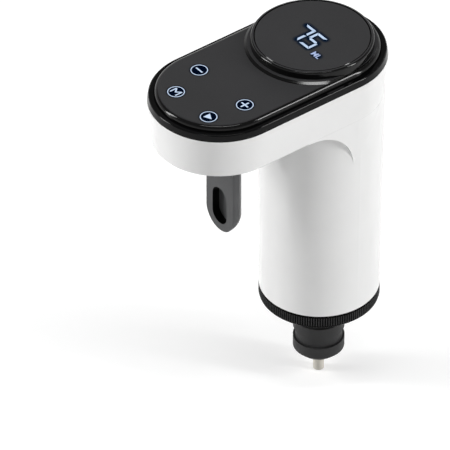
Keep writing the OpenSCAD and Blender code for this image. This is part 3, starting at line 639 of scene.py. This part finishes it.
key_legend("minus", KEY_MINUS, minus_outline(MARK_WIDTH, MARK_LINE))
key_legend("plus", KEY_PLUS, plus_outline(MARK_WIDTH, MARK_LINE))
key_legend("mode", KEY_MODE, letter_outline(MARK_WIDTH, LETTER_HEIGHT, LETTER_LINE))
key_legend("start", KEY_START, arrow_outline(MARK_WIDTH / 2))


# Lit display

lens_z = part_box("display_lens")[1].z


def clamp(value):
    """Value held between 0 and 1."""
    return max(0.0, min(1.0, value))


def digit_lines(lit, left):
    """Centre lines of a seven-segment digit's lit segments."""
    low = Vector((left + DIGIT_LINE / 2, DIGITS_LOW + DIGIT_LINE / 2))
    reach = Vector((DIGIT_W - DIGIT_LINE, DIGIT_H - DIGIT_LINE))
    lines = []
    for segment in lit:
        start, end = (low + Vector(share) * reach for share in SEGMENTS[segment])
        gap = (end - start).normalized() * DIGIT_GAP
        lines.append((start + gap, end - gap))
    return lines


def pointed_bar(start, end, width):
    """Outline of a bar with pointed ends, as in the middle of a digit."""
    along = (end - start).normalized()
    side = Vector((-along.y, along.x)) * width / 2
    tip = along * width / 2
    points = (start, start + tip + side, end - tip + side, end, end - tip - side, start + tip - side)
    return [tuple(p) for p in points]


def mitred_bar(start, end, width, centre):
    """Outline of a bar whose outer edge, away from the centre, runs on into the digit's corners."""
    along = (end - start).normalized()
    side = Vector((-along.y, along.x)) * width / 2
    if side.dot(centre - start) < 0:
        side.negate()
    tip = along * width / 2
    corners = [p + run if abs(p.y - centre.y) > width else p for p, run in ((start, -tip), (end, tip))]
    points = (corners[0] - side, corners[1] - side, end - tip + side, start + tip + side)
    return [tuple(p) for p in points]


def digit_outlines(lit, left):
    """Outlines of a digit's lit segments, mitred at its corners."""
    centre = Vector((left + DIGIT_W / 2, DIGITS_LOW + DIGIT_H / 2))
    outlines = []
    for segment, (start, end) in zip(lit, digit_lines(lit, left)):
        if segment == "middle":
            outlines.append(pointed_bar(start, end, DIGIT_LINE))
        else:
            outlines.append(mitred_bar(start, end, DIGIT_LINE, centre))
    return outlines


def unit_mesh(letters, z):
    """Capital letters as a thin film, their lower left corner at the unit's place."""
    curve = bpy.data.curves.new("letters", "FONT")
    curve.body = letters
    curve.extrude = UNIT_DEPTH
    curve.offset = UNIT_BOLD
    curve.resolution_u = UNIT_STEPS
    mesh = plain_mesh(add_object("letters", curve))
    low = Vector([min(v.co[i] for v in mesh.vertices) for i in range(3)])
    high = Vector([max(v.co[i] for v in mesh.vertices) for i in range(3)])
    size = UNIT_HEIGHT * MM / (high.y - low.y)
    mesh.transform(Matrix.Translation(-low))
    mesh.transform(Matrix.Diagonal((size, size, FILM * MM / (high.z - low.z), 1.0)))
    mesh.transform(Matrix.Translation((UNIT_PLACE[0] * MM, UNIT_PLACE[1] * MM, z)))
    mesh.materials.append(UNIT_LIGHT)
    return mesh


def unit_line(unit):
    """Middle line of the unit's letters, half their height short of both ends."""
    right = max(v.co.x for v in unit.vertices) / MM
    middle = UNIT_PLACE[1] + UNIT_HEIGHT / 2
    return Vector((UNIT_PLACE[0] + UNIT_HEIGHT / 2, middle)), Vector((right - UNIT_HEIGHT / 2, middle))


def line_distance(point, line):
    """Distance of a point from a line between two points."""
    start, end = line
    span = end - start
    share = clamp((point - start).dot(span) / span.length_squared)
    return (point - start - span * share).length


def display_glow(strokes):
    """Backlight that follows strokes, each a line and half its width, and fades out beside them."""
    ends = [point for line, half in strokes for point in line]
    margin = Vector((GLOW_MARGIN, GLOW_MARGIN))
    low = Vector((min(p.x for p in ends), min(p.y for p in ends))) - margin
    high = Vector((max(p.x for p in ends), max(p.y for p in ends))) + margin
    across = int((high.x - low.x) / GLOW_CELL) + 1
    along = int((high.y - low.y) / GLOW_CELL) + 1
    bm = bmesh.new()
    fades = []
    for j in range(along):
        for i in range(across):
            point = low + Vector((i, j)) * GLOW_CELL
            near = min(line_distance(point, line) - half for line, half in strokes)
            fades.append(clamp(1 + HALO_CORE - near / HALO))
            bm.verts.new((point.x * MM, point.y * MM, lens_z + LIFT * MM))
    bm.verts.ensure_lookup_table()
    for j in range(along - 1):
        for i in range(across - 1):
            k = j * across + i
            bm.faces.new([bm.verts[n] for n in (k, k + 1, k + across + 1, k + across)])
    add_glow("glow_digits", bm, fades, DIGIT_GLOW)


def display_legend():
    """Number and unit on the lens, over their backlight."""
    z = lens_z + 2 * LIFT * MM
    unit = unit_mesh("ML", z)
    strokes = [(line, DIGIT_LINE / 2) for lit, left in DIGITS for line in digit_lines(lit, left)]
    strokes.append((unit_line(unit), UNIT_GLOW))
    display_glow(strokes)
    bm = bmesh.new()
    for lit, left in DIGITS:
        for outline in digit_outlines(lit, left):
            add_film(bm, outline, z)
    finish_piece("lit_digits", mesh_from(bm, "lit_digits", DIGIT_LIGHT), "body")
    finish_piece("lit_unit", unit, "body")


display_legend()


# Rows of ribs and contacts


def node_tree(name, inputs):
    """Geometry node tree with named inputs. Returns the tree, the inputs' sockets and its end."""
    tree = bpy.data.node_groups.new(name, "GeometryNodeTree")
    for label, kind in inputs.items():
        tree.interface.new_socket(label, in_out="INPUT", socket_type="NodeSocket" + kind)
    tree.interface.new_socket("Geometry", in_out="OUTPUT", socket_type="NodeSocketGeometry")
    return tree, tree.nodes.new("NodeGroupInput").outputs, tree.nodes.new("NodeGroupOutput")


def close_tree(tree, points, instance, finish, end):
    """Copies of an instance on points, realized and given their finish."""
    copies = add_node(tree, "GeometryNodeInstanceOnPoints", {"Points": points, "Instance": instance})
    real = add_node(tree, "GeometryNodeRealizeInstances", {"Geometry": copies.outputs["Instances"]})
    paint = add_node(tree, "GeometryNodeSetMaterial",
                     {"Geometry": real.outputs["Geometry"], "Material": finish})
    set_inputs(tree, end, {"Geometry": paint.outputs["Geometry"]})


def run_tree(tree, name, values):
    """Plain mesh from a geometry node tree with the given input values."""
    holder = add_object(name + "_maker", bpy.data.meshes.new(name))
    modifier = holder.modifiers.new("rows", "NODES")
    modifier.node_group = tree
    for item in tree.interface.items_tree:
        if item.in_out == "INPUT":
            modifier[item.identifier] = values[item.name]
    mesh = plain_mesh(holder)
    mesh.name = name
    return mesh


def rib_tree():
    """Upright round ribs in a circle."""
    tree, given, end = node_tree("ring_ribs", {
        "Ribs": "Int", "Circle": "Float", "Rib radius": "Float", "Rib height": "Float", "Middle": "Vector",
        "Finish": "Material"})
    circle = add_node(tree, "GeometryNodeMeshCircle", {"Vertices": given["Ribs"], "Radius": given["Circle"]})
    raised = add_node(tree, "GeometryNodeTransform",
                      {"Geometry": circle.outputs["Mesh"], "Translation": given["Middle"]})
    rib = add_node(tree, "GeometryNodeMeshCylinder",
                   {"Vertices": RIB_SIDES, "Radius": given["Rib radius"], "Depth": given["Rib height"]})
    close_tree(tree, raised.outputs["Geometry"], rib.outputs["Mesh"], given["Finish"], end)
    return tree


def contact_tree():
    """Row of small bars."""
    tree, given, end = node_tree("socket_contacts", {
        "Contacts": "Int", "First": "Vector", "Pitch": "Vector", "Size": "Vector", "Finish": "Material"})
    row = add_node(tree, "GeometryNodeMeshLine",
                   {"Count": given["Contacts"], "Start Location": given["First"], "Offset": given["Pitch"]})
    strip = add_node(tree, "GeometryNodeMeshCube", {"Size": given["Size"]})
    close_tree(tree, row.outputs["Mesh"], strip.outputs["Mesh"], given["Finish"], end)
    return tree


ring_low, ring_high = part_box("lock_ring")
rib_low = ring_low.z + RIB_LOW
rib_high = ring_high.z - RIB_TOP
ribs = run_tree(rib_tree(), "ring_ribs", {
    "Ribs": RIB_COUNT,
    "Circle": ring_high.x - RIB_RADIUS,
    "Rib radius": RIB_RADIUS,
    "Rib height": rib_high - rib_low,
    "Middle": (0, 0, (rib_low + rib_high) / 2),
    "Finish": RIB_HIGHLIGHT_FINISH,
})
finish_piece("ring_ribs", ribs, "ring")

socket_low, socket_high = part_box("charging_socket")
socket_z = (socket_low.z + socket_high.z) / 2
contact_left = -(CONTACT_COUNT - 1) / 2 * CONTACT_PITCH
contact_row = contact_tree()
for label, side in (("upper", 1), ("lower", -1)):
    contacts = run_tree(contact_row, "socket_contacts", {
        "Contacts": CONTACT_COUNT,
        "First": (contact_left, socket_high.y - CONTACT_INSET, socket_z + side * TONGUE_HALF),
        "Pitch": (CONTACT_PITCH, 0, 0),
        "Size": CONTACT_SIZE,
        "Finish": GOLD,
    })
    finish_piece("socket_contacts_" + label, contacts, "body")


# Studio: floor, surroundings, lamps and camera


def seen_ray(tree):
    """1 where the surroundings are seen, directly, in a reflection or through a clear piece."""
    path = add_node(tree, "ShaderNodeLightPath", {}).outputs
    reflected = compute(tree, "MAXIMUM", path["Is Camera Ray"], path["Is Glossy Ray"])
    return compute(tree, "MAXIMUM", reflected, path["Is Transmission Ray"])


def make_floor():
    """Plain pale floor under the part, seen as white also where the lamps don't reach."""
    material, tree, shader = new_shader("pale_floor")
    reach = add_node(tree, "ShaderNodeVectorMath", {0: coordinates(tree, "Object")}, operation="LENGTH")
    lift = remap(tree, reach.outputs["Value"], *FLOOR_LIFT, FLOOR_FADE)
    set_inputs(tree, shader, {
        "Base Color": grey(FLOOR_TONE),
        "Roughness": 0.9,
        "Specular IOR Level": 0.0,
        "Emission Color": grey(1.0),
        "Emission Strength": compute(tree, "MULTIPLY", lift, seen_ray(tree)),
    })
    mesh = bpy.data.meshes.new("floor")
    z = cad_box[0].z - FLOOR_GAP
    corners = [(x * FLOOR_HALF, y * FLOOR_HALF, z) for x, y in ((-1, -1), (1, -1), (1, 1), (-1, 1))]
    mesh.from_pydata(corners, [], [(0, 1, 2, 3)])
    mesh.materials.append(material)
    floor = add_object("floor", mesh)


def make_world():
    """Surroundings: an even light, and white with a grey ceiling where they are seen."""
    world = bpy.data.worlds.new("studio")
    world.use_nodes = True
    tree = world.node_tree
    sky = remap(tree, axis_of(tree, coordinates(tree, "Generated"), "Z"), 1.0, CEILING, CEILING_FADE)
    set_inputs(tree, tree.nodes["Background"], {
        "Color": grey(1.0),
        "Strength": mix(tree, "FLOAT", seen_ray(tree), WORLD_LEVEL, sky),
    })
    scene.world = world


def soft_box(name, place, size, power):
    """Area light at a place, turned to the camera's target."""
    light = bpy.data.lights.new(name, "AREA")
    light.shape = "RECTANGLE"
    light.size, light.size_y = size
    light.energy = power
    lamp = add_object(name, light)
    lamp.location = place
    lamp.rotation_euler = (CAMERA_TARGET - Vector(place)).to_track_quat("-Z", "Y").to_euler()


def make_camera():
    """Camera at the picture's bearing, slid sideways for its framing."""
    azimuth = math.radians(CAMERA_AZIMUTH)
    elevation = math.radians(CAMERA_ELEVATION)
    back = Vector((math.sin(azimuth) * math.cos(elevation), -math.cos(azimuth) * math.cos(elevation),
                   math.sin(elevation)))
    right = Vector((math.cos(azimuth), math.sin(azimuth), 0))
    up = back.cross(right)
    camera = add_object("camera", bpy.data.cameras.new("camera"))
    camera.data.lens = CAMERA_LENS
    camera.data.sensor_width = CAMERA_SENSOR
    camera.data.clip_end = CAMERA_REACH
    place = CAMERA_TARGET + back * CAMERA_DISTANCE + right * CAMERA_SLIDE_RIGHT + up * CAMERA_SLIDE_UP
    camera.matrix_world = Matrix.Translation(place) @ Matrix((right, up, back)).transposed().to_4x4()
    scene.camera = camera


scene.view_settings.view_transform = "Standard"
make_floor()
make_world()
for lamp_name, lamp_place, lamp_size, lamp_power in LAMPS:
    soft_box(lamp_name, lamp_place, lamp_size, lamp_power)
make_camera()
